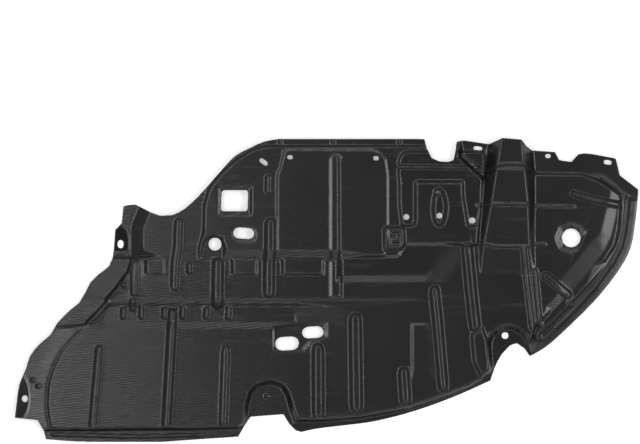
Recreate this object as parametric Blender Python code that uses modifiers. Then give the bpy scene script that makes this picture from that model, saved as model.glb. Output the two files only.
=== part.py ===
"""Engine splash shield: one black moulded sheet that closes the engine bay from below.

The sheet is a thin shell. Its plan is an outline with holes. Its relief is a height over every point
of the plan, added up from plateaus, recesses and beads. Each has a foot line, a crest line and a draft
between. Those lines are the break lines of one triangulated surface, which Solidify turns into the wall.
Plan positions are in millimetres, to the right of the left end and up from the front edge.
"""

import math

import bpy
import numpy as np
from mathutils import Vector
from mathutils.geometry import delaunay_2d_cdt, interpolate_bezier

MM = 0.001

# Overall size, and the size that the positions below are drawn at
LENGTH, WIDTH = 998.0, 486.5
DRAWN_LENGTH, DRAWN_WIDTH = 998.0, 486.5

# Sheet
THICKNESS = 2.0
LINE_PITCH = 80.0
CURVE_PITCH = 14.0
CAP_STEPS = 2
HOLE_STEPS = 3
CORNER_BULGE = 0.55
CORNER_POINTS = 3
MERGE_DISTANCE = 0.3

# Sines of the bends below which two sides count as nearly one line, and as one line
SLIGHT_BEND, LEAST_BEND = 0.2, 0.02

# Height of each plateau above what it stands on
FIELD_LIFT = 10.0
RIM_LIFT = 7.0
LIP_LIFT = 3.8
LEDGE_LIFT = 4.0
SKIRT_LIFT = 5.5
FLAP_LIFT = 8.0
REAR_TABS_LIFT = 7.0
MIDDLE_LIFT = 1.3
SHELF_LIFT = 3.0
UPPER_LIFT = 1.5
PANEL_LIFT = 3.4
CENTRE_LIFT = 1.4
BLOCK_LIFT = 4.0
WEDGE_LIFT = 4.0
POCKET_LIFT = 1.5
PATCH_LIFT = 2.5

# Depth of each recess below what it is sunk in
TROUGH_DEPTH = 3.0
HATCH_DEPTH = 2.0
ACCESS_DEPTH = 1.5
SCORE_DEPTH = 1.2
DISH_DEPTH = 2.6
SEAT_DEPTH = 3.5
OVAL_SEAT_DEPTH = 5.0
GROOVE_DEPTH = 2.0
DIMPLE_DEPTH = 2.0

# Width in plan of the sloping wall round a plateau or recess
NARROW_DRAFT = 3.6
STEEP_DRAFT = 5.0
WALL_DRAFT = 7.0
DISH_DRAFT = 10.0
BROAD_DRAFT = 13.0
BAND_DRAFT = 18.0
FLANK_DRAFT = 26.0
SHOULDER_DRAFT = 42.0
FADE_DRAFT = 80.0

# Beads: rise, and width in plan of each sloping side
BEAD_RISE, BEAD_DRAFT = 5.0, 5.5
SLIM_RISE, SLIM_DRAFT = 3.4, 4.0
THIN_RISE, THIN_DRAFT = 2.5, 3.2
CREASE_RISE, CREASE_DRAFT, CREASE_WIDTH = 1.6, 2.6, 6.2
DRAIN_SEAT_WIDTH = 41.0

# Holes
FIXING_HOLE = 9.5
FRONT_TAB_HOLE = 11.0
RIVET_HOLE = 7.0
DRAIN_HOLE = 21.0
FILLER_HOLE = 30.5
REAR_ACCESS = 17.5
FRONT_ACCESS_LEFT = 21.5
FRONT_ACCESS_RIGHT = 18.5
HATCH_RADIUS = 4.0
DIMPLE_WIDTH = 9.0

# Outline, clockwise from the upper left flap. Each row runs from its first corner to the next row's
# first corner, straight if it has one point and else in a smooth curve through the points between.
OUTLINE = (
    ((173.5, 377.5), (181.5, 379.5), (192.5, 380.5), (208.5, 372.5), (232.5, 362.5), (251.5, 363.5),
     (272.5, 374), (296.5, 396.5), (328.5, 432.5), (352.5, 458), (376.5, 471), (400.5, 481.5)),
    ((424.5, 485.5),),
    ((655.5, 485), (659.5, 469.5), (667, 455), (679, 449.5), (693.5, 448.5), (702, 451.5), (705, 464.5)),
    ((707, 480.5),),
    ((719.5, 483),),
    ((759, 477),),
    ((779.5, 486.5),),
    ((810, 484), (817.5, 474.5)),
    ((827.5, 467),),
    ((864.5, 464.5),),
    ((871.5, 451.5),),
    ((891, 448.5),),
    ((902, 461), (912.5, 462.5), (936.5, 459)),
    ((962, 454),),
    ((968.5, 427),),
    ((998, 404.5), (996.5, 379.5), (991.5, 339.5), (985.5, 309.5), (968.5, 277.5), (936.5, 235.5),
     (904.5, 202), (872.5, 171.5), (848.5, 151)),
    ((824.5, 137.5), (816.5, 149.5), (803.5, 158.5), (792.5, 154.5), (779.5, 140.5), (768.5, 119.5)),
    ((761.5, 98.5), (712.5, 76.5), (664.5, 58), (616.5, 43), (568.5, 32), (520.5, 26), (480.5, 21)),
    ((459, 16), (450, 18.5), (439, 29.5)),
    ((430, 44.5),),
    ((377.5, 40.5), (369.5, 29.5)),
    ((357.5, 8.5), (296.5, 4.5)),
    ((232.5, 0),),
    ((152.5, 0), (96.5, 1)),
    ((49.5, 4.5), (45.5, 19.5)),
    ((36.5, 35.5),),
    ((0, 39), (3.5, 67.5), (7.5, 93.5), (18, 118), (24.5, 138), (40.5, 158), (57.5, 172.5), (67.5, 190),
     (88.5, 211.5), (103, 223), (111.5, 237.5), (120.5, 255), (133.5, 268.5), (151, 282), (156.5, 295)),
    ((160.5, 339.5),),
    ((171, 351),),
)

# Round and slotted holes: width, and the path of the hole's centre
HOLES = (
    (FIXING_HOLE, (169, 319), (169, 315)),
    (FIXING_HOLE, (16, 70.5), (16, 69)),
    (RIVET_HOLE, (395, 451), (401.5, 446)),
    (RIVET_HOLE, (439.5, 456), (441.5, 456)),
    (RIVET_HOLE, (577, 454.5), (579, 454.5)),
    (RIVET_HOLE, (737.5, 470.5), (745, 469.5)),
    (RIVET_HOLE, (852.5, 458), (854.5, 458)),
    (RIVET_HOLE, (946, 448.5), (952, 447.5)),
    (FIXING_HOLE, (626.5, 360.5)),
    (FIXING_HOLE, (679.5, 362.5)),
    (FIXING_HOLE, (731, 355), (732.5, 355)),
    (FRONT_TAB_HOLE, (785, 170.5)),
    (DRAIN_HOLE, (320.5, 317)),
    (FILLER_HOLE, (890.5, 327)),
    (REAR_ACCESS, (358.5, 335), (374.5, 334)),
    (FRONT_ACCESS_LEFT, (427.5, 157.5), (444, 158.5)),
    (FRONT_ACCESS_RIGHT, (469, 175.5), (485, 176.5)),
)

HATCH = ((331.5, 403.5), (373.5, 403.5), (372.5, 369.5), (330, 369.5))

# Plateaus and recesses. Each run of an outline is a draft and the corners whose sides have it, clockwise.
FIELD = (
    (BAND_DRAFT, (187, 346)),
    (BROAD_DRAFT, (202, 381.5)),
    (STEEP_DRAFT, (216.5, 403.5), (456.5, 531.5), (715, 531.5), (715, 456.5), (751, 424.5), (754, 432.5),
     (909.5, 431.5), (936.5, 421.5), (963.5, 404.5)),
    (BAND_DRAFT, (971.5, 397.5), (963, 363.5), (955, 330)),
    (FLANK_DRAFT, (941.5, 303), (923.5, 279)),
    (BROAD_DRAFT, (893.5, 243.5)),
    (STEEP_DRAFT, (861.5, 210), (837.5, 186)),
    (WALL_DRAFT, (826, 154), (819.5, 161.5), (810, 172.5), (800.5, 179), (789.5, 181.5), (778, 179),
     (767, 170)),
    (STEEP_DRAFT, (761.5, 155.5), (765.5, 112.5), (747.5, 98), (728.5, 87.5), (696.5, 75), (664.5, 63.5),
     (632.5, 53.5), (603.5, 47), (552.5, 38), (488.5, 32.5)),
    (WALL_DRAFT, (447, 32.5), (440.5, 51.5), (434, 74), (426, 87.5), (408.5, 93.5), (389.5, 88.5),
     (380.5, 79), (375, 59.5)),
    (STEEP_DRAFT, (370, 29.5), (357.5, 21.5), (296.5, 19.5)),
    (FLANK_DRAFT, (34, 18), (29.5, 51.5), (28.5, 75.5), (31, 99.5), (40.5, 130), (55, 157.5), (66, 178)),
    (NARROW_DRAFT, (67.5, 187), (110, 188.5), (144.5, 226), (179.5, 274)),
    (BAND_DRAFT, (187, 298)),
)
LEDGE = (
    (STEEP_DRAFT, (-23.5, 147.5), (-23.5, 297.5), (232.5, 297.5), (232.5, 147.5)),
)
SKIRT = (
    (STEEP_DRAFT, (-23.5, 131.5), (-23.5, 234), (232.5, 234), (232.5, 131.5)),
)
FLAP = (
    (STEEP_DRAFT, (-23.5, 18), (-23.5, 187), (152.5, 187), (152.5, 18)),
)
RIM = (
    (WALL_DRAFT, (936.5, 400.5), (962, 407), (975.5, 397.5), (975, 378), (971, 341.5), (964.5, 314)),
    (STEEP_DRAFT, (949.5, 287), (919.5, 248.5), (889.5, 215.5), (859.5, 186), (845.5, 173.5), (834, 163.5),
     (827.5, 170), (856.5, 227.5)),
)
LIP = (
    (WALL_DRAFT, (936.5, 403.5), (979.5, 411.5)),
    (BROAD_DRAFT, (996.5, 402), (995.5, 379.5), (991, 339.5), (984.5, 309.5), (968.5, 278), (936.5, 236.5),
     (904.5, 203), (872.5, 172), (848.5, 152.5)),
    (WALL_DRAFT, (827.5, 141.5), (824.5, 155.5), (856.5, 227.5)),
)
REAR_TABS = (
    (STEEP_DRAFT, (680.5, 411.5), (680.5, 515.5), (1032.5, 515.5), (1032.5, 387.5)),
    (BAND_DRAFT, (965.5, 387.5), (936.5, 411.5)),
)
MIDDLE = (
    (STEEP_DRAFT, (136.5, 224.5), (136.5, 547.5), (754, 547.5), (754, 426), (743.5, 346)),
    (FLANK_DRAFT, (738, 314), (687, 258)),
    (WALL_DRAFT, (667.5, 224.5)),
)
SHELF = (
    (WALL_DRAFT, (514, 255), (514, 301.5), (612.5, 301.5), (622, 320.5)),
    (SHOULDER_DRAFT, (728.5, 320.5)),
    (BROAD_DRAFT, (699.5, 255)),
)
PANEL_RIGHT_SIDE = ((752.5, 426), (750, 403.5), (743, 313.5))
UPPER = (
    (BAND_DRAFT, (522, 290), (187, 290)),
    (STEEP_DRAFT, (187, 547.5), (752.5, 547.5), *PANEL_RIGHT_SIDE),
    (WALL_DRAFT, (712.5, 313.5), (626, 313.5), (616.5, 294), (523.5, 294)),
)
PANEL = (
    (NARROW_DRAFT, (293.5, 290), (293.5, 312.5), (300.5, 336.5), (301.5, 379.5), (309.5, 407), (330, 432.5),
     (354, 454), (379.5, 469.5), (402, 475.5), (752.5, 475.5), *PANEL_RIGHT_SIDE),
    (WALL_DRAFT, (712.5, 313.5), (626, 313.5), (616.5, 294), (523.5, 294)),
    (BAND_DRAFT, (522, 290)),
)
CENTRE = (
    (NARROW_DRAFT, (418, 290), (418, 429.5), (423, 439), (427, 456.5), (429.5, 466), (435.5, 470)),
    (STEEP_DRAFT, (575, 469.5), (586, 465.5), (595.5, 455), (599.5, 427.5), (599.5, 346), (594, 298)),
    (WALL_DRAFT, (589.5, 294), (523.5, 294)),
    (BAND_DRAFT, (522, 290)),
)
BUMPER = (
    (STEEP_DRAFT, (611.5, 413.5), (611.5, 451.5), (619.5, 466), (629.5, 467.5), (755.5, 467.5)),
    (WALL_DRAFT, (755.5, 413.5)),
)
LEFT_SEAT = (
    (STEEP_DRAFT, (617.5, 343.5), (613, 379.5), (613, 426), (643.5, 426), (643.5, 351), (637.5, 343.5)),
)
RIGHT_SEAT = (
    (STEEP_DRAFT, (723, 343), (715, 394), (714, 426), (755.5, 426), (748.5, 387.5), (743, 343)),
)
OVAL_SEAT = (
    (WALL_DRAFT, (679, 409.5), (687.5, 403), (692.5, 389.5), (694, 373.5), (691.5, 357.5), (685.5, 345.5),
     (679.5, 342), (672.5, 345.5), (667, 358), (666, 373.5), (667, 389.5), (671, 403)),
)
BLOCK = (
    (STEEP_DRAFT, (589.5, 304.5), (588.5, 346), (623, 346), (626, 336.5), (625.5, 314), (618, 307.5)),
)
BLOCK_WELL = (
    (THIN_DRAFT, (599.5, 313.5), (599.5, 338), (620.5, 338), (620.5, 313.5)),
)
HATCH_WELL = (
    (STEEP_DRAFT, (324.5, 361.5), (325.5, 410), (380.5, 410), (380.5, 361.5)),
)
ACCESS_WELL = (
    (STEEP_DRAFT, (411.5, 143), (411.5, 184.5)),
    (WALL_DRAFT, (450, 191), (500.5, 192.5), (501.5, 167), (475.5, 157.5), (461.5, 143)),
)
TROUGH = (
    (BAND_DRAFT, (117.5, 180.5)),
    (WALL_DRAFT, (130, 223.5), (528.5, 223.5)),
    (FADE_DRAFT, (528.5, 211.5)),
    (BROAD_DRAFT, (528.5, 180.5)),
)
GROOVE = (
    (WALL_DRAFT, (502, 229.5), (502, 455), (507, 463)),
    (NARROW_DRAFT, (515.5, 463), (520.5, 455), (521, 304.5), (524.5, 288.5), (524.5, 229.5)),
)
POCKET = (
    (NARROW_DRAFT, (634, 91.5), (634, 191)),
    (BAND_DRAFT, (671.5, 191)),
    (FLANK_DRAFT, (682, 91.5)),
)
WEDGE = (
    (STEEP_DRAFT, (732.5, 128.5), (728.5, 173.5), (749.5, 187), (758, 163.5), (763.5, 115.5), (744.5, 103)),
)
PATCHES = (
    ((STEEP_DRAFT, (207.5, 267), (207.5, 295.5), (241.5, 295.5), (241.5, 267)),),
    ((STEEP_DRAFT, (345.5, 266), (345.5, 295.5), (389.5, 295.5), (389.5, 266)),),
    ((STEEP_DRAFT, (426, 266), (426, 295.5), (496.5, 295.5), (496.5, 266)),),
)

# Beads: width, then the path of the crest
BROAD_BEADS = (
    (20.0, (325.5, 287), (324.5, 220.5)),
    (20.0, (409.5, 351), (409.5, 314), (407.5, 288.5), (407, 239)),
    (21.0, (485.5, 149.5), (486, 45.5)),
    (22.0, (545, 198), (547, 56.5)),
    (19.5, (622.5, 112.5), (625.5, 67.5)),
    (18.0, (671.5, 243.5), (676.5, 195.5), (680.5, 147.5), (685.5, 88.5)),
    (20.0, (723.5, 312.5), (730, 243.5), (736.5, 184.5)),
    (17.0, (252.5, 208.5), (251.5, 179.5), (248.5, 123.5), (243, 27.5)),
)
SLIM_BEADS = (
    (15.0, (262.5, 352.5), (261.5, 314), (257.5, 288.5), (256, 248.5)),
    (14.0, (192, 287), (191.5, 239)),
    (11.5, (189, 227), (188.5, 213.5)),
    (11.0, (279.5, 284.5), (279.5, 272.5)),
    (14.0, (135.5, 149.5), (125, 26)),
    (15.0, (338, 147.5), (334, 32.5)),
    (15.0, (849.5, 266.5), (885.5, 235.5)),
    (12.0, (894, 397.5), (922, 389.5), (965.5, 380)),
    (10.5, (174, 213.5), (173.5, 200.5)),
    (10.5, (203, 215), (203, 200.5)),
    (10.5, (239.5, 214), (239.5, 200.5)),
    (10.5, (269, 215), (268.5, 200.5)),
    (10.5, (307, 213.5), (306.5, 200.5)),
    (10.5, (342.5, 215), (342, 199)),
)
THIN_BEADS = (
    (9.0, (405, 424.5), (404.5, 402)),
    (8.0, (615, 440.5), (741.5, 439.5)),
    (9.0, (147.5, 228.5), (155, 236.5), (165.5, 244)),
    (10.0, (119, 193.5), (130, 201.5), (138, 211), (150, 223)),
    (8.0, (60.5, 12.5), (184.5, 9), (296.5, 11.5)),
    (8.0, (424.5, 488.5), (425.5, 479)),
    (8.0, (509.5, 488.5), (509.5, 479)),
    (8.0, (615.5, 488.5), (615.5, 477.5)),
    (14.0, (836.5, 167.5)),
    (14.5, (890.5, 223)),
    (10.0, (29.5, 99.5)),
    (10.0, (37.5, 90)),
    (12.0, (175, 251.5)),
    (9.0, (677.5, 398)),
    (9.0, (403, 73.5)),
)
CHANNEL_BEADS = (
    (10.5, (814, 309.5), (819, 259.5), (824, 219.5), (828, 183)),
    (10.0, (832.5, 274), (836.5, 227.5), (840.5, 187.5)),
)
CREASES = (
    ((746, 434), (755.5, 434), (775, 445), (813.5, 445.5), (832.5, 431.5)),
    ((739.5, 379), (760.5, 381.5), (821.5, 381), (832.5, 378), (895, 377)),
    ((739.5, 318), (755.5, 317.5), (771.5, 314), (819.5, 314), (832.5, 317), (848.5, 317)),
    ((712.5, 479), (715.5, 461.5), (731.5, 447.5), (746, 435.5)),
    ((160.5, 302.5), (182, 302.5)),
    ((981.5, 394), (979.5, 365.5), (975.5, 336.5), (970, 312.5), (957.5, 288.5), (927, 247), (896.5, 213.5),
     (866, 183)),
)
SCORE = ((56.5, 23), (51.5, 48.5), (51, 71), (53.5, 96.5), (61.5, 120.5), (74, 144.5), (90, 163),
         (107.5, 178))
DISHES = (
    (55.0, (890.5, 327)),
    (29.0, (359, 333.5), (374, 331.5)),
)
DRAIN_SEAT = ((318, 312.5), (318, 288.5))
DIMPLES = ((890.5, 223), (607, 329.5))

# Channel: cross sections from the rear edge forwards. Each is how far forward it is, then the left foot,
# the left crest, the right crest, the right foot, and the height of the crest above the flange.
CHANNEL = (
    (493.5, 760.5, 779.5, 810, 826.5, 36.0),
    (445.5, 754.5, 771, 814.5, 831, 33.0),
    (434, 753.5, 769.5, 816, 831.5, 30.0),
    (383, 749, 762, 821.5, 832, 25.0),
    (323.5, 744, 751, 823.5, 831.5, 17.0),
    (267.5, 740.5, 744.5, 827, 833, 10.0),
)


def place(drawn):
    """A drawn position on the sheet at its real size."""
    return Vector((drawn[0] * LENGTH / DRAWN_LENGTH, drawn[1] * WIDTH / DRAWN_WIDTH))


def curve_through(knots):
    """A smooth curve through the knots, or a straight line between two."""
    pitch = LINE_PITCH if len(knots) == 2 else CURVE_PITCH
    line = [knots[0]]
    for i, (a, b) in enumerate(zip(knots, knots[1:])):
        reach = (b - a).length / 3
        leave, arrive = direction_at(knots, i) * reach, direction_at(knots, i + 1) * reach
        steps = max(1, round((b - a).length / pitch))
        line += interpolate_bezier(a, a + leave, b - arrive, b, steps + 1)[1:]
    return line


def direction_at(knots, i):
    return (knots[min(i + 1, len(knots) - 1)] - knots[max(i - 1, 0)]).normalized()


def closed_outline(rows):
    """The whole outline as one list of points, each row ending at the next row's first corner."""
    outline = []
    for row, following in zip(rows, rows[1:] + rows[:1]):
        outline += curve_through([place(p) for p in row + following[:1]])[:-1]
    return outline


def ring_round(path, radius, steps=CAP_STEPS):
    """The outline at one distance round a path: two sides and two round ends, or a circle."""
    if len(path) == 1:
        path = path * 2
        along = [Vector((1, 0))] * 2
    else:
        along = [direction_at(path, i) for i in range(len(path))]
    ring = []
    for points, heading in ((path, along), (path[::-1], [-d for d in along[::-1]])):
        ring += [p + radius * turned(d, 90) for p, d in zip(points, heading)][:-1]
        for step in range(2 * steps):
            ring.append(points[-1] + radius * turned(heading[-1], 90 - 90 * step / steps))
    return ring


def turned(direction, degrees):
    turn = math.radians(degrees)
    return Vector((direction.x * math.cos(turn) - direction.y * math.sin(turn),
                   direction.x * math.sin(turn) + direction.y * math.cos(turn)))


def rounded(corners, radius):
    """The outline of a plain polygon with its corners cut back to arcs of one radius."""
    line = []
    for before, corner, after in zip(corners[-1:] + corners[:-1], corners, corners[1:] + corners[:1]):
        start = corner + (before - corner).normalized() * radius
        stop = corner + (after - corner).normalized() * radius
        handles = start.lerp(corner, CORNER_BULGE), stop.lerp(corner, CORNER_BULGE)
        line += interpolate_bezier(start, *handles, stop, CORNER_POINTS)
    return line


class Plateau:
    """A level area with sloping sides. A negative rise sinks it."""

    def __init__(self, runs, rise):
        self.corners = [place(p) for run in runs for p in run[1:]]
        self.drafts = [run[0] for run in runs for _ in run[1:]]
        self.rise = rise

    def lines(self):
        return [self.corners, self.crest()]

    def crest(self):
        """Where the sides reach the full rise: each side moved in by its own draft."""
        line = []
        for i, here in enumerate(self.corners):
            before, after = self.corners[i - 1], self.corners[(i + 1) % len(self.corners)]
            arriving, leaving = (here - before).normalized(), (after - here).normalized()
            first, second = self.drafts[i - 1], self.drafts[i]
            bend = arriving.cross(leaving)
            if abs(bend) < SLIGHT_BEND and first != second:
                line += [here + inward(arriving) * first, here + inward(leaving) * second]
            elif abs(bend) < LEAST_BEND:
                line.append(here + inward(leaving) * second)
            else:
                line.append(here + (arriving * second - leaving * first) / bend)
        return line

    def share(self, plan):
        """How far each point is up the sides: 0 at the foot and outside, 1 on the level."""
        share = np.full(len(plan), np.inf)
        for i, (a, b) in enumerate(zip(self.corners, self.corners[1:] + self.corners[:1])):
            share = np.minimum(share, distance_to_side(plan, a, b) / self.drafts[i])
        return np.where(inside(plan, self.corners), np.clip(share, 0, 1), 0)

    def height(self, plan):
        return self.rise * self.share(plan)


def inward(direction):
    """To the right of a side of a clockwise outline."""
    return Vector((direction.y, -direction.x))


class Bead:
    """A ridge along a path, with sloping sides and round ends. A negative rise makes it a dish."""

    def __init__(self, width, path, rise, draft):
        self.path, self.radius = [place(p) for p in path], width / 2
        self.rise, self.draft = rise, draft

    def lines(self):
        return [ring_round(self.path, self.radius), ring_round(self.path, self.radius - self.draft)]

    def height(self, plan):
        away = np.full(len(plan), np.inf)
        for a, b in zip(self.path, self.path[1:] or self.path):
            away = np.minimum(away, distance_to_side(plan, a, b))
        return self.rise * np.clip((self.radius - away) / self.draft, 0, 1)


class Channel:
    """A tapering ridge through a row of cross sections."""

    def __init__(self, sections):
        size = np.array((WIDTH / DRAWN_WIDTH, *[LENGTH / DRAWN_LENGTH] * 4, 1))
        self.sections = np.array(sections) * size

    def lines(self):
        along = [[Vector((row[k], row[0])) for row in self.sections] for k in (1, 2, 3, 4)]
        across = [[Vector((row[k], row[0])) for k in (1, 2, 3, 4)] for row in self.sections]
        return along + across

    def share_and_top(self, plan):
        """How far each point is up the sides, as for a plateau, and the crest's height across from it."""
        rows = self.sections[::-1]
        left, crest_left, crest_right, right, top = (
            np.interp(plan[:, 1], rows[:, 0], rows[:, k]) for k in range(1, 6)
        )
        from_left = (plan[:, 0] - left) / (crest_left - left)
        from_right = (right - plan[:, 0]) / (right - crest_right)
        share = np.clip(np.minimum(from_left, from_right), 0, 1)
        return np.where(plan[:, 1] >= rows[0, 0], share, 0), top


def distance_to_side(plan, a, b):
    start, side = np.array(a), np.array(b) - np.array(a)
    along = np.clip((plan - start) @ side / (side @ side or 1), 0, 1)
    return np.linalg.norm(plan - start - along[:, None] * side, axis=1)


def inside(plan, corners):
    """Which points lie within a closed outline."""
    odd = np.zeros(len(plan), bool)
    x, y = plan.T
    for a, b in zip(corners, corners[1:] + corners[:1]):
        if a.y != b.y:
            crosses = (a.y > y) != (b.y > y)
            odd ^= crosses & (x < (b.x - a.x) * (y - a.y) / (b.y - a.y) + a.x)
    return odd


field = Plateau(FIELD, FIELD_LIFT)
BESIDE_FIELD = (
    Plateau(RIM, RIM_LIFT),
    Plateau(LIP, LIP_LIFT),
    Plateau(SKIRT, SKIRT_LIFT),
    Plateau(FLAP, FLAP_LIFT),
    Plateau(REAR_TABS, REAR_TABS_LIFT),
    Plateau(LEDGE, LEDGE_LIFT),
)
LOW_TERRACES = (Plateau(MIDDLE, MIDDLE_LIFT), Plateau(SHELF, SHELF_LIFT), Plateau(TROUGH, -TROUGH_DEPTH))
HIGH_TERRACES = (Plateau(UPPER, UPPER_LIFT), Plateau(PANEL, PANEL_LIFT), Plateau(CENTRE, CENTRE_LIFT))
DRAIN_CLEARING = Bead(DRAIN_SEAT_WIDTH, DRAIN_SEAT, 1, STEEP_DRAFT)
SEATS = (Plateau(BUMPER, SEAT_DEPTH), Plateau(LEFT_SEAT, SEAT_DEPTH), Plateau(RIGHT_SEAT, SEAT_DEPTH))
DETAILS = (
    Plateau(BLOCK, BLOCK_LIFT),
    Plateau(BLOCK_WELL, -DIMPLE_DEPTH),
    Plateau(WEDGE, WEDGE_LIFT),
    Plateau(POCKET, POCKET_LIFT),
    Plateau(OVAL_SEAT, -OVAL_SEAT_DEPTH),
    Plateau(HATCH_WELL, -HATCH_DEPTH),
    Plateau(ACCESS_WELL, -ACCESS_DEPTH),
    *(Plateau(patch, PATCH_LIFT) for patch in PATCHES),
    *(Bead(width, path, BEAD_RISE, BEAD_DRAFT) for width, *path in BROAD_BEADS),
    *(Bead(width, path, SLIM_RISE, SLIM_DRAFT) for width, *path in SLIM_BEADS),
    *(Bead(width, path, THIN_RISE, THIN_DRAFT) for width, *path in THIN_BEADS),
    Bead(CREASE_WIDTH, SCORE, -SCORE_DEPTH, CREASE_DRAFT),
    Plateau(GROOVE, -GROOVE_DEPTH),
    *(Bead(width, path, -DISH_DEPTH, DISH_DRAFT) for width, *path in DISHES),
    *(Bead(DIMPLE_WIDTH, (centre,), -DIMPLE_DEPTH, THIN_DRAFT) for centre in DIMPLES),
)
channel = Channel(CHANNEL)
OVER_CHANNEL = (
    *(Bead(CREASE_WIDTH, path, CREASE_RISE, CREASE_DRAFT) for path in CREASES),
    *(Bead(width, path, THIN_RISE, THIN_DRAFT) for width, *path in CHANNEL_BEADS),
)


def relief(plan):
    """Height of the sheet above its flange, in millimetres, over each point of the plan."""
    on_field = field.share(plan)
    beside = np.maximum.reduce([shape.height(plan) for shape in BESIDE_FIELD])
    base = beside + (FIELD_LIFT - beside) * on_field
    terraces = sum(shape.rise * np.minimum(shape.share(plan), on_field) for shape in LOW_TERRACES)
    steps = sum(shape.rise * np.minimum(shape.share(plan), on_field) for shape in HIGH_TERRACES)
    seats = np.maximum.reduce([shape.height(plan) for shape in SEATS])
    floor = base + terraces + steps * (1 - DRAIN_CLEARING.height(plan)) - seats
    floor += sum(shape.height(plan) for shape in DETAILS)
    share, top = channel.share_and_top(plan)
    return floor + (top - floor) * share + sum(shape.height(plan) for shape in OVER_CHANNEL)


def divided(line, closed):
    """The line with no stretch longer than the pitch, and whether its ends join."""
    points = []
    for a, b in zip(line, line[1:] + line[:1] if closed else line[1:]):
        steps = math.ceil((b - a).length / LINE_PITCH)
        points += [a.lerp(b, step / steps) for step in range(steps)]
    return points if closed else points + line[-1:]


def add_line(points, edges, line, closed=True):
    first = len(points)
    points += divided(line, closed)
    edges += [(i, i + 1) for i in range(first, len(points) - 1)]
    if closed:
        edges.append((len(points) - 1, first))


def sheet_surface():
    """The top face: every foot, crest, edge and hole line triangulated in plan, raised to the relief."""
    outline = closed_outline(OUTLINE)
    holes = [ring_round([place(p) for p in path], width / 2, HOLE_STEPS) for width, *path in HOLES]
    holes.append(rounded([place(p) for p in HATCH], HATCH_RADIUS))
    points, edges = [], []
    for line in [outline] + holes:
        add_line(points, edges, line)
    steps = LOW_TERRACES + HIGH_TERRACES
    for shape in (field, DRAIN_CLEARING, *BESIDE_FIELD, *steps, *SEATS, *DETAILS, *OVER_CHANNEL):
        for line in shape.lines():
            add_line(points, edges, line)
    for line in channel.lines():
        add_line(points, edges, line, closed=False)
    plan, _, faces, *_ = delaunay_2d_cdt(points, edges, [], 0, MERGE_DISTANCE)
    plan, faces = np.array(plan), np.array(faces)
    middles = plan[faces].mean(axis=1)
    kept = inside(middles, outline)
    for hole in holes:
        kept &= ~inside(middles, hole)
    used, faces = np.unique(faces[kept], return_inverse=True)
    plan = plan[used]
    top = relief(plan) + THICKNESS
    middle = (np.min(outline, axis=0) + np.max(outline, axis=0)) / 2
    places = np.column_stack([plan - middle, top]) * MM
    mesh = bpy.data.meshes.new("splash_shield")
    mesh.from_pydata(places.tolist(), [], faces.reshape(-1, 3).tolist())
    return mesh


def black_plastic():
    plastic = bpy.data.materials.new("black_plastic")
    plastic.use_nodes = True
    finish = plastic.node_tree.nodes["Principled BSDF"].inputs
    finish["Base Color"].default_value = (0.012, 0.012, 0.013, 1)
    finish["Roughness"].default_value = 0.42
    finish["Metallic"].default_value = 0.0
    return plastic


def build():
    for thing in list(bpy.data.objects):
        bpy.data.objects.remove(thing)
    group = bpy.data.collections.new("Engine splash shield")
    bpy.context.scene.collection.children.link(group)
    sheet = bpy.data.objects.new("splash_shield", sheet_surface())
    group.objects.link(sheet)
    sheet.data.materials.append(black_plastic())
    wall = sheet.modifiers.new("Wall", "SOLIDIFY")
    wall.thickness = THICKNESS * MM
    wall.offset = -1
    wall.use_quality_normals = True


build()
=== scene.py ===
"""Engine splash shield on a white table, seen from straight above."""

import math

import bpy
import numpy as np
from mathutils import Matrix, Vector
from mathutils.geometry import delaunay_2d_cdt


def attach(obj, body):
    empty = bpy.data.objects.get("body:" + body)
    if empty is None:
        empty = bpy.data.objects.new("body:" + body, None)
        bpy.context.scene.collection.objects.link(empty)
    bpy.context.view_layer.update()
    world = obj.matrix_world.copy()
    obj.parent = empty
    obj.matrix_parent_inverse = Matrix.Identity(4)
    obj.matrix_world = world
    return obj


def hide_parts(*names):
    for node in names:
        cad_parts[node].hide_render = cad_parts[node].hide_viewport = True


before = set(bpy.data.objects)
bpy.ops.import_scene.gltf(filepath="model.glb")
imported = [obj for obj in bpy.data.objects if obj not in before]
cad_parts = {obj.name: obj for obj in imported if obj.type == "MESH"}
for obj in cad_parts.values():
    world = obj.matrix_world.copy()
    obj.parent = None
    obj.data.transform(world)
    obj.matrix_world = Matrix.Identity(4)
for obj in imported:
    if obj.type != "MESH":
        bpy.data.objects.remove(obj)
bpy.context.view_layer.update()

# Camera: the photograph's frame in the part's plane in metres, the lens in millimetres
VIEW_CENTRE = Vector((-0.0105, 0.1092, 0.012))
VIEW_WIDTH = 1.024
LENS, SENSOR = 300.0, 36.0

# Grid for the solid's upper face: cell and roundings in metres, reach of a rounding in roundings
CELL = 0.0005
MARGIN_CELLS = 12
SOFTEN, TRIM_SOFTEN = 0.00115, 0.0006
SOFTEN_REACH = 3
LEAST_RISE = 0.001
TINY = 1e-6

# Trim of the sheet: a point every few cells, where the cover falls to a half, and a second line inside it
TRIM_CELLS = 4
TRIM_COVER = 0.5
TRIM_ROUNDS = 4
TRIM_INSET = 0.0011
CLEAR_OF_TRIM = 0.93

# Points in plan, in metres: lines beside each crease, and a lattice elsewhere
FEATURE_COS = math.cos(math.radians(5))
LINE_STEP = 0.007
FILLET_OFFSETS = (-0.003, -0.0011, 0.0, 0.0011, 0.003)
LATTICE = 0.012
MERGE = 0.0003

# Wall, in metres, with its rounded edge. Crests are fully worn at this curvature, in 1/m
SHEET = 0.002
EDGE_ROUND, EDGE_LEAN = 0.0004, 0.6
SHARPEST_CREST = 250.0

# Room: brightness of its dim and its pale parts, with their heights as sines
ROOM_DIM, ROOM_PALE = 0.12, 0.42
ROOM_WALLS, ROOM_CEILING = (0.22, 0.48), 0.68

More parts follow.
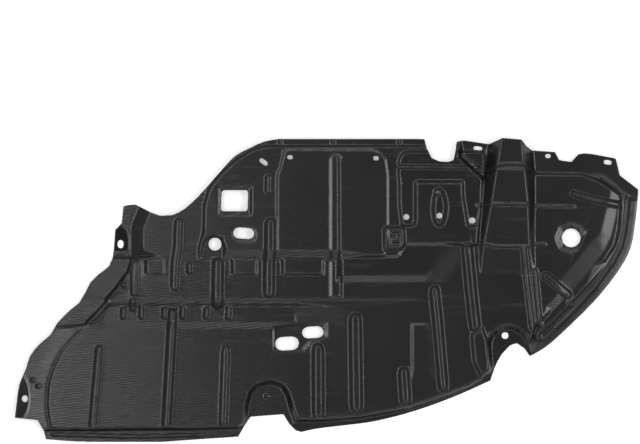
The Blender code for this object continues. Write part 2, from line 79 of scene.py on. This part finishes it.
# Floor, in metres. Its glow: from and to these distances, rising between these strengths
FLOOR_SIZE, FLOOR_LEVEL = 60.0, -0.0002
FLOOR_WHITE, FLOOR_ROUGHNESS = 0.8, 0.9
FLOOR_GLOW = 1.0, 6.0, 0.45, 0.95

# Softboxes: azimuth and elevation in degrees, distance and size in metres, power in watts
SOFTBOXES = (
    ("right_softbox", 90, 57, 3.0, (1.6, 0.5), 27),
    ("left_softbox", 270, 70, 3.2, (1.8, 0.55), 26),
    ("front_softbox", 0, 60, 3.0, (2.4, 0.5), 11),
    ("rear_softbox", 180, 58, 3.0, (2.4, 0.5), 16),
)

# Plastic: colours, then the depth of the grain in metres and how it fades from left to right
BLACK, WORN_BLACK = (0.007, 0.007, 0.0075, 1), (0.02, 0.02, 0.021, 1)
GRAIN_SCALE, GRAIN_DEPTH = 700.0, 0.00024
GRAIN_FADE = -0.4, 0.05, 0.85, 0.14
COMB_TILT = math.radians(-7)
COMB = {"Scale": 78.0, "Distortion": 2.0, "Detail": 2.0, "Detail Scale": 0.4}

# Polished spots: centre and radii in metres, and the share of a spot over which its polish fades
POLISHED = (((-0.490, -0.1708), (0.018, 0.043)), ((-0.329, 0.0757), (0.015, 0.030)))
POLISH_FADE = 0.25

# Wear: scales of the noises, the values between which they set in, and the strength of the scuffs
RUB_SCALE, RUB_ONSET = 60.0, (0.35, 0.6)
SCUFF_SCALE, SCUFF_TURN, SCUFF_ONSET = (9, 70, 40), 0.5, (0.62, 0.72)
SCUFF_DETAIL, SCUFF_STRENGTH = 4, 0.5

# Roughness: its slow drift, and what polish takes from it and wear and comb add to it
SATIN_SCALE, SATIN_DETAIL = 7.0, 3
SATIN_RANGE = 0.3, 0.7, 0.25, 0.29
POLISH_SATIN, WORN_SATIN, COMB_SATIN = 0.16, 0.08, 0.02


class Relief:
    """The upper face of a solid as a height over a fine grid in plan."""

    def __init__(self, mesh):
        places = np.empty(len(mesh.vertices) * 3)
        mesh.vertices.foreach_get("co", places)
        self.points, weld = np.unique(np.round(places.reshape(-1, 3), 6), axis=0, return_inverse=True)
        triangles = weld.ravel()[np.array([tuple(face.vertices) for face in mesh.polygons])]
        a, b, c = (self.points[triangles[:, k]] for k in range(3))
        normals = np.cross(b - a, c - a)
        normals /= np.linalg.norm(normals, axis=1)[:, None]
        upward = normals[:, 2] > LEAST_RISE
        self.triangles, self.normals = triangles[upward], normals[upward]
        self.origin = self.points[:, :2].min(axis=0) - MARGIN_CELLS * CELL
        spread = self.points[:, :2].max(axis=0) - self.origin
        height = np.zeros([int(n) + MARGIN_CELLS for n in spread / CELL])
        covered = np.zeros_like(height)
        for triangle in self.points[self.triangles]:
            self.fill(height, covered, triangle)
        self.cover = softened(covered, TRIM_SOFTEN)
        self.margin = softened(covered, SOFTEN)
        self.height = softened(height, SOFTEN) / np.maximum(self.margin, TINY)
        self.slope = np.gradient(self.height, CELL)
        self.bulge = -sum(np.gradient(part, CELL, axis=axis) for axis, part in enumerate(self.slope))
        self.trim = np.gradient(self.cover, CELL)

    def fill(self, height, covered, triangle):
        """Enter a triangle in the cells whose corner lies under it."""
        corners = (triangle[:, :2] - self.origin) / CELL
        low = np.ceil(corners.min(axis=0)).astype(int)
        high = np.floor(corners.max(axis=0)).astype(int) + 1
        x, y = np.meshgrid(np.arange(low[0], high[0]), np.arange(low[1], high[1]), indexing="ij")
        (ax, ay), (bx, by), (cx, cy) = corners
        area = (bx - ax) * (cy - ay) - (cx - ax) * (by - ay)
        u = ((x - ax) * (cy - ay) - (cx - ax) * (y - ay)) / area
        v = ((bx - ax) * (y - ay) - (x - ax) * (by - ay)) / area
        inside = (u >= 0) & (v >= 0) & (u + v <= 1)
        z = triangle[0, 2] + u * (triangle[1, 2] - triangle[0, 2]) + v * (triangle[2, 2] - triangle[0, 2])
        x, y, z = x[inside], y[inside], z[inside]
        height[x, y] = np.maximum(height[x, y], z)
        covered[x, y] = 1

    def read(self, grid, plan):
        """Values of a grid at points of the plan, between its cells."""
        place = (plan - self.origin) / CELL
        cell = np.clip(place.astype(int), 0, np.array(grid.shape) - 2)
        (x, y), (u, v) = cell.T, (place - cell).T
        return ((1 - u) * (1 - v) * grid[x, y] + u * (1 - v) * grid[x + 1, y]
                + (1 - u) * v * grid[x, y + 1] + u * v * grid[x + 1, y + 1])

    def read_pair(self, grids, plan):
        """Values of an X grid and a Y grid, as vectors in plan."""
        return np.column_stack([self.read(grid, plan) for grid in grids])


def softened(grid, radius):
    """The grid with its creases rounded."""
    reach = math.ceil(SOFTEN_REACH * radius / CELL)
    offsets = np.arange(-reach, reach + 1)
    kernel = np.exp(-0.5 * (offsets * CELL / radius) ** 2)
    kernel /= kernel.sum()
    for axis in (0, 1):
        grid = sum(weight * np.roll(grid, offset, axis) for weight, offset in zip(kernel, offsets))
    return grid


def unit(vectors):
    return vectors / np.linalg.norm(vectors, axis=1)[:, None]


def trim_lines(relief):
    """The outline and the holes as closed lines: the cells' sides, moved onto the smooth contour."""
    solid = relief.cover > TRIM_COVER
    following = {}
    for axis, side, (ax, ay), (bx, by) in (
        (0, 1, (1, 0), (1, 1)), (0, -1, (0, 1), (0, 0)), (1, 1, (1, 1), (0, 1)), (1, -1, (0, 0), (1, 0)),
    ):
        for x, y in np.argwhere(solid & ~np.roll(solid, -side, axis)).tolist():
            following[x + ax, y + ay] = (x + bx, y + by)
    lines = []
    while following:
        start, here = following.popitem()
        line = [start]
        while here != start:
            line.append(here)
            here = following.pop(here)
        plan = relief.origin + (np.array(line[::TRIM_CELLS]) - 0.5) * CELL
        for _ in range(TRIM_ROUNDS):
            slope = relief.read_pair(relief.trim, plan)
            miss = relief.read(relief.cover, plan) - TRIM_COVER
            plan = plan - slope * (miss / np.maximum((slope**2).sum(axis=1), TINY))[:, None]
        lines.append(plan)
    return lines


def feature_lines(relief):
    """Lines of points along each crease of the solid, within its fillet and where the fillet ends."""
    owners = {}
    for i, triangle in enumerate(relief.triangles.tolist()):
        for a, b in zip(triangle, triangle[1:] + triangle[:1]):
            owners.setdefault((min(a, b), max(a, b)), []).append(i)
    lines = []
    for (a, b), pair in owners.items():
        start, stop = relief.points[a, :2], relief.points[b, :2]
        length = np.linalg.norm(stop - start)
        if len(pair) < 2 or relief.normals[pair[0]] @ relief.normals[pair[1]] > FEATURE_COS or length < MERGE:
            continue
        across = np.array((start[1] - stop[1], stop[0] - start[0])) / length
        steps = max(1, round(length / LINE_STEP))
        middle = start + (stop - start) * ((np.arange(steps) + 0.5) / steps)[:, None]
        for offset in FILLET_OFFSETS:
            line = middle + across * offset
            lines.append(line[relief.read(relief.margin, line) > CLEAR_OF_TRIM])
    return lines


def even_points(relief, busy):
    """A triangular lattice over the level areas that have no feature points."""
    low, high = relief.points[:, :2].min(axis=0), relief.points[:, :2].max(axis=0)
    x, y = np.meshgrid(np.arange(low[0], high[0], LATTICE),
                       np.arange(low[1], high[1], LATTICE * math.sqrt(0.75)), indexing="ij")
    x[:, 1::2] += LATTICE / 2
    lattice = np.column_stack([x.ravel(), y.ravel()])
    near = np.zeros_like(relief.height)
    cells = np.round((busy - relief.origin) / CELL).astype(int)
    near[cells[:, 0], cells[:, 1]] = 1
    lattice = lattice[relief.read(softened(near, SOFTEN), lattice) == 0]
    return lattice[relief.read(relief.margin, lattice) > CLEAR_OF_TRIM]


def add_line(plan, ties, line):
    ties += [(k, k + 1) for k in range(len(plan), len(plan) + len(line) - 1)]
    plan += line.tolist()


def add_loop(plan, ties, line):
    ties.append((len(plan) + len(line) - 1, len(plan)))
    add_line(plan, ties, line)


def reached(faces, fences, start):
    """The faces that a walk from the first one comes to, without a step over a fence."""
    beside = {}
    for i, (a, b, c) in enumerate(faces):
        beside[a, b] = beside[b, c] = beside[c, a] = i
    found, front = {start}, [start]
    while front:
        a, b, c = faces[front.pop()]
        for side in ((a, b), (b, c), (c, a)):
            other = beside.get(side[::-1], start)
            if other not in found and side not in fences and side[::-1] not in fences:
                found.add(other)
                front.append(other)
    return sorted(found)


def triangulated(relief):
    """The sheet in plan as points and triangles, with edges along its trim and its creases."""
    plan, ties = [], []
    trim = trim_lines(relief)
    for line in trim:
        add_loop(plan, ties, line)
    trim_ties = len(ties)
    for line in trim:
        inward = unit(relief.read_pair(relief.trim, line))
        add_loop(plan, ties, line + TRIM_INSET * inward)
    creases = feature_lines(relief)
    for line in creases:
        add_line(plan, ties, line)
    plan += even_points(relief, np.concatenate(creases)).tolist()
    plan, edges, faces, _, sources, _ = delaunay_2d_cdt([tuple(p) for p in plan], ties, [], 0, MERGE)
    plan, faces = np.array(plan), np.array(faces)
    fences = {edge for edge, source in zip(edges, sources) if source and min(source) < trim_ties}
    inmost = np.argmax(relief.read(relief.cover, plan[faces].mean(axis=1)))
    return plan, faces[reached(faces.tolist(), fences, inmost)]


def rim_edges(faces):
    """The edges that only one face has, in that face's direction."""
    edges = np.vstack([faces[:, (0, 1)], faces[:, (1, 2)], faces[:, (2, 0)]])
    owned = {tuple(edge) for edge in edges.tolist()}
    return np.array([edge for edge in owned if edge[::-1] not in owned])


def fine_sheet(node):
    """The sheet with rounded creases and a trimmed edge, over the same form as its solid."""
    relief = Relief(node.data)
    plan, faces = triangulated(relief)
    upper = relief.read(relief.height, plan)
    normals = unit(np.column_stack([-relief.read_pair(relief.slope, plan), np.ones(len(plan))]))
    lower = np.maximum(upper - SHEET / normals[:, 2], relief.points[:, 2].min())

    sides = rim_edges(faces)
    edge = np.unique(sides)
    upper[edge] -= EDGE_ROUND
    lower[edge] += EDGE_ROUND
    outward = unit(np.column_stack([-relief.read_pair(relief.trim, plan[edge]), np.zeros(len(edge))]))
    upper_normals, lower_normals = normals.copy(), -normals
    upper_normals[edge] = unit(upper_normals[edge] + EDGE_LEAN * outward)
    lower_normals[edge] = unit(lower_normals[edge] + EDGE_LEAN * outward)
    along = plan[sides[:, 1]] - plan[sides[:, 0]]
    side_normals = unit(np.column_stack([along[:, 1], -along[:, 0], np.zeros(len(sides))]))

    count = len(plan)
    places = np.vstack([np.column_stack([plan, upper]), np.column_stack([plan, lower])])
    underside = faces[:, ::-1]
    walls = [(b, a, a + count, b + count) for a, b in sides.tolist()]
    mesh = bpy.data.meshes.new("splash_shield_surface")
    mesh.from_pydata(places.tolist(), [], faces.tolist() + (underside + count).tolist() + walls)
    mesh.shade_smooth()
    mesh.normals_split_custom_set(np.vstack([
        upper_normals[faces.ravel()],
        lower_normals[underside.ravel()],
        np.repeat(side_normals, 4, axis=0),
    ]).tolist())
    crest = np.clip(relief.read(relief.bulge, plan) / SHARPEST_CREST, 0, 1)
    wear = mesh.attributes.new("crest", "FLOAT", "POINT")
    wear.data.foreach_set("value", np.append(crest, np.zeros(count)))
    piece = bpy.data.objects.new("shield_sheet", mesh)
    bpy.context.scene.collection.objects.link(piece)
    return piece


def make_camera():
    data = bpy.data.cameras.new("Camera")
    data.lens, data.sensor_width = LENS, SENSOR
    camera = bpy.data.objects.new("Camera", data)
    distance = VIEW_WIDTH * LENS / SENSOR
    camera.location = VIEW_CENTRE + Vector((0, 0, distance))
    data.clip_end = 2 * distance
    bpy.context.scene.collection.objects.link(camera)
    bpy.context.scene.camera = camera


def make_softbox(name, azimuth, elevation, distance, size, power):
    """An area lamp aimed at the part. Azimuth 0 is the lower edge of the picture, 90 its right edge."""
    lamp = bpy.data.lights.new(name, "AREA")
    lamp.shape = "RECTANGLE"
    lamp.size, lamp.size_y = size
    lamp.energy = power
    box = bpy.data.objects.new(name, lamp)
    turn, rise = math.radians(azimuth), math.radians(elevation)
    away = Vector((math.sin(turn) * math.cos(rise), -math.cos(turn) * math.cos(rise), math.sin(rise)))
    box.location = away * distance
    box.rotation_euler = away.to_track_quat("Z", "Y").to_euler()
    bpy.context.scene.collection.objects.link(box)


def add_node(tree, kind, inputs, **settings):
    """A shader node with its settings, and its inputs as values or as links from other nodes' outputs."""
    node = tree.nodes.new(kind)
    for name, value in settings.items():
        setattr(node, name, value)
    for socket, value in inputs.items():
        if isinstance(value, bpy.types.NodeSocket):
            tree.links.new(value, node.inputs[socket])
        else:
            node.inputs[socket].default_value = value
    return node


def noise(tree, place, scale, detail=2):
    settings = {"Vector": place, "Scale": scale, "Detail": detail}
    return add_node(tree, "ShaderNodeTexNoise", settings).outputs["Fac"]


def ramp(tree, value, low, high, start=0.0, stop=1.0):
    """The value's span from low to high, spread from start to stop."""
    return add_node(tree, "ShaderNodeMapRange", {
        "Value": value, "From Min": low, "From Max": high, "To Min": start, "To Max": stop}).outputs[0]


def math_node(tree, operation, a, b):
    return add_node(tree, "ShaderNodeMath", {0: a, 1: b}, operation=operation).outputs[0]


def make_world():
    """White to the camera. To the object, a dim studio with walls paler than its ceiling."""
    world = bpy.data.worlds.new("Studio")
    world.use_nodes = True
    tree = world.node_tree
    place = add_node(tree, "ShaderNodeTexCoord", {}).outputs["Generated"]
    height = add_node(tree, "ShaderNodeSeparateXYZ", {"Vector": place}).outputs["Z"]
    room = add_node(tree, "ShaderNodeValToRGB", {"Fac": height})
    stops = room.color_ramp.elements
    stops[0].color = stops[1].color = (ROOM_DIM, ROOM_DIM, ROOM_DIM, 1)
    stops[1].position = ROOM_CEILING
    for position in ROOM_WALLS:
        stops.new(position).color = (ROOM_PALE, ROOM_PALE, ROOM_PALE, 1)
    studio = add_node(tree, "ShaderNodeBackground", {"Color": room.outputs["Color"]})
    seen = add_node(tree, "ShaderNodeBackground", {"Color": (1, 1, 1, 1)})
    path = add_node(tree, "ShaderNodeLightPath", {}).outputs
    shown = math_node(tree, "MAXIMUM", path["Is Camera Ray"], path["Is Transmission Ray"])
    mix = add_node(tree, "ShaderNodeMixShader", {0: shown, 1: studio.outputs[0], 2: seen.outputs[0]})
    tree.links.new(mix.outputs[0], tree.nodes["World Output"].inputs["Surface"])
    bpy.context.scene.world = world


def make_floor():
    """A white table. What its own colour lacks of white comes from a glow that lights nothing."""
    bpy.ops.mesh.primitive_plane_add(size=FLOOR_SIZE, location=(0, 0, FLOOR_LEVEL))
    floor = bpy.context.object
    floor.name = "floor"
    white = bpy.data.materials.new("white_table")
    white.use_nodes = True
    tree = white.node_tree
    shader = tree.nodes["Principled BSDF"]
    shader.inputs["Base Color"].default_value = (FLOOR_WHITE, FLOOR_WHITE, FLOOR_WHITE, 1)
    shader.inputs["Roughness"].default_value = FLOOR_ROUGHNESS
    shader.inputs["Specular IOR Level"].default_value = 0.0
    shader.inputs["Emission Color"].default_value = (1, 1, 1, 1)
    path = add_node(tree, "ShaderNodeLightPath", {}).outputs
    shown = math_node(tree, "MAXIMUM", path["Is Camera Ray"], path["Is Glossy Ray"])
    shown = math_node(tree, "MAXIMUM", shown, path["Is Transmission Ray"])
    place = add_node(tree, "ShaderNodeTexCoord", {}).outputs["Object"]
    away = add_node(tree, "ShaderNodeVectorMath", {0: place}, operation="LENGTH").outputs["Value"]
    glow = ramp(tree, away, *FLOOR_GLOW)
    tree.links.new(math_node(tree, "MULTIPLY", shown, glow), shader.inputs["Emission Strength"])
    floor.data.materials.append(white)


def polished_spots(tree, place):
    """How smooth the mould left the sheet: 1 in the middle of a polished spot, 0 outside."""
    spots = []
    for centre, radii in POLISHED:
        fit = {"Vector": place, "Location": (*centre, 0), "Scale": (*radii, 1)}
        near = add_node(tree, "ShaderNodeMapping", fit, vector_type="TEXTURE").outputs[0]
        spot = add_node(tree, "ShaderNodeTexGradient", {"Vector": near}, gradient_type="SPHERICAL")
        spots.append(spot.outputs["Fac"])
    return ramp(tree, math_node(tree, "MAXIMUM", *spots), 0.0, POLISH_FADE)


def worn_places(tree, place):
    """Rubbed crests and slanting scuffs: 1 where the sheet is fully worn."""
    crest = add_node(tree, "ShaderNodeAttribute", {}, attribute_name="crest").outputs["Fac"]
    patches = ramp(tree, noise(tree, place, RUB_SCALE), *RUB_ONSET)
    rubbed = math_node(tree, "MULTIPLY", crest, patches)
    slant = {"Vector": place, "Scale": SCUFF_SCALE, "Rotation": (0, 0, SCUFF_TURN)}
    streaks = add_node(tree, "ShaderNodeMapping", slant).outputs[0]
    scuffed = ramp(tree, noise(tree, streaks, 1.0, SCUFF_DETAIL), *SCUFF_ONSET)
    return math_node(tree, "MAXIMUM", rubbed, math_node(tree, "MULTIPLY", scuffed, SCUFF_STRENGTH))


def make_plastic():
    """Satin black plastic: fine moulded grain, polished spots at two tabs, rubbed crests and scuffs."""
    plastic = bpy.data.materials.new("black_plastic")
    plastic.use_nodes = True
    tree = plastic.node_tree
    shader = tree.nodes["Principled BSDF"]
    place = add_node(tree, "ShaderNodeTexCoord", {}).outputs["Object"]
    polished = polished_spots(tree, place)
    worn = worn_places(tree, place)

    tilted = add_node(tree, "ShaderNodeMapping", {"Vector": place, "Rotation": (0, 0, COMB_TILT)}).outputs[0]
    comb = add_node(tree, "ShaderNodeTexWave", {"Vector": tilted, **COMB}, bands_direction="Y").outputs["Fac"]
    grain = math_node(tree, "ADD", noise(tree, place, GRAIN_SCALE), comb)
    across = add_node(tree, "ShaderNodeSeparateXYZ", {"Vector": place}).outputs["X"]
    dull = math_node(tree, "SUBTRACT", 1.0, polished)
    coarse = math_node(tree, "MULTIPLY", ramp(tree, across, *GRAIN_FADE), dull)
    relief = math_node(tree, "MULTIPLY", grain, coarse)
    bump = add_node(tree, "ShaderNodeBump", {"Height": relief, "Strength": 1.0, "Distance": GRAIN_DEPTH})
    tree.links.new(bump.outputs[0], shader.inputs["Normal"])

    satin = ramp(tree, noise(tree, place, SATIN_SCALE, SATIN_DETAIL), *SATIN_RANGE)
    smooth = math_node(tree, "SUBTRACT", satin, math_node(tree, "MULTIPLY", polished, POLISH_SATIN))
    roughness = math_node(tree, "ADD", smooth, math_node(tree, "MULTIPLY", worn, WORN_SATIN))
    combed = math_node(tree, "MULTIPLY", math_node(tree, "MULTIPLY", comb, coarse), COMB_SATIN)
    tree.links.new(math_node(tree, "ADD", roughness, combed), shader.inputs["Roughness"])
    colour = add_node(tree, "ShaderNodeMix", {"Factor": worn, "A": BLACK, "B": WORN_BLACK}, data_type="RGBA")
    tree.links.new(colour.outputs["Result"], shader.inputs["Base Color"])
    return plastic


bpy.context.scene.view_settings.view_transform = "Standard"
make_camera()
make_world()
make_floor()
for softbox in SOFTBOXES:
    make_softbox(*softbox)
plastic = make_plastic()
shield = fine_sheet(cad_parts["splash_shield"])
shield.data.materials.append(plastic)
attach(shield, "root")
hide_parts("splash_shield")
